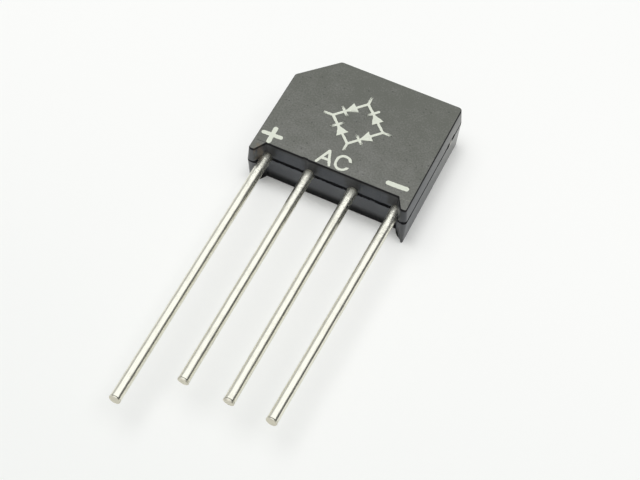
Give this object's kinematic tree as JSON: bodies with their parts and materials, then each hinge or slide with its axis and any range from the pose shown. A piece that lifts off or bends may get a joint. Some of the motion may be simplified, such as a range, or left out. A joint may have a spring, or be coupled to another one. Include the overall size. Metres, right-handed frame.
{
  "type": "bridge rectifier",
  "caption": "In-line moulded bridge rectifier: a drafted epoxy case with a chamfered plus corner and standoff feet, and long round tinned leads in a row.",
  "frame": {"origin": "centre of the flat back face, the face that the part lies on", "axes": "+Z out of the marked face, +X along the row of leads from the plus lead to the minus lead, leads leave along -Y"},
  "size_m": [0.0194, 0.048, 0.0064],
  "materials": {
    "case": "fine-grained moulded epoxy, charcoal",
    "tinned_wire": "tinned copper wire, bright and lightly scratched",
    "silicon": "glass-passivated silicon",
    "copper": "stamped copper strip",
    "solder": "reflowed solder",
    "ink": "printed white ink"
  },
  "bodies": {
    "root": {"moulded_case": "case", "plus_lead": "tinned_wire", "ac_lead_left": "tinned_wire", "ac_lead_right": "tinned_wire", "minus_lead": "tinned_wire", "die_ac_left_to_plus": "silicon", "die_ac_right_to_plus": "silicon", "die_minus_to_ac_left": "silicon", "die_minus_to_ac_right": "silicon", "ac_clip_left": "copper", "ac_clip_right": "copper", "minus_clip": "copper", "solder_under_die_1": "solder", "solder_under_die_2": "solder", "solder_under_die_3": "solder", "solder_under_die_4": "solder", "solder_over_die_1": "solder", "solder_over_die_2": "solder", "solder_over_die_3": "solder", "solder_over_die_4": "solder", "solder_ac_left": "solder", "solder_ac_right": "solder", "solder_minus": "solder", "plus_mark": "ink", "minus_mark": "ink", "ac_mark": "ink", "bridge_symbol": "ink"}
  },
  "joints": []
}
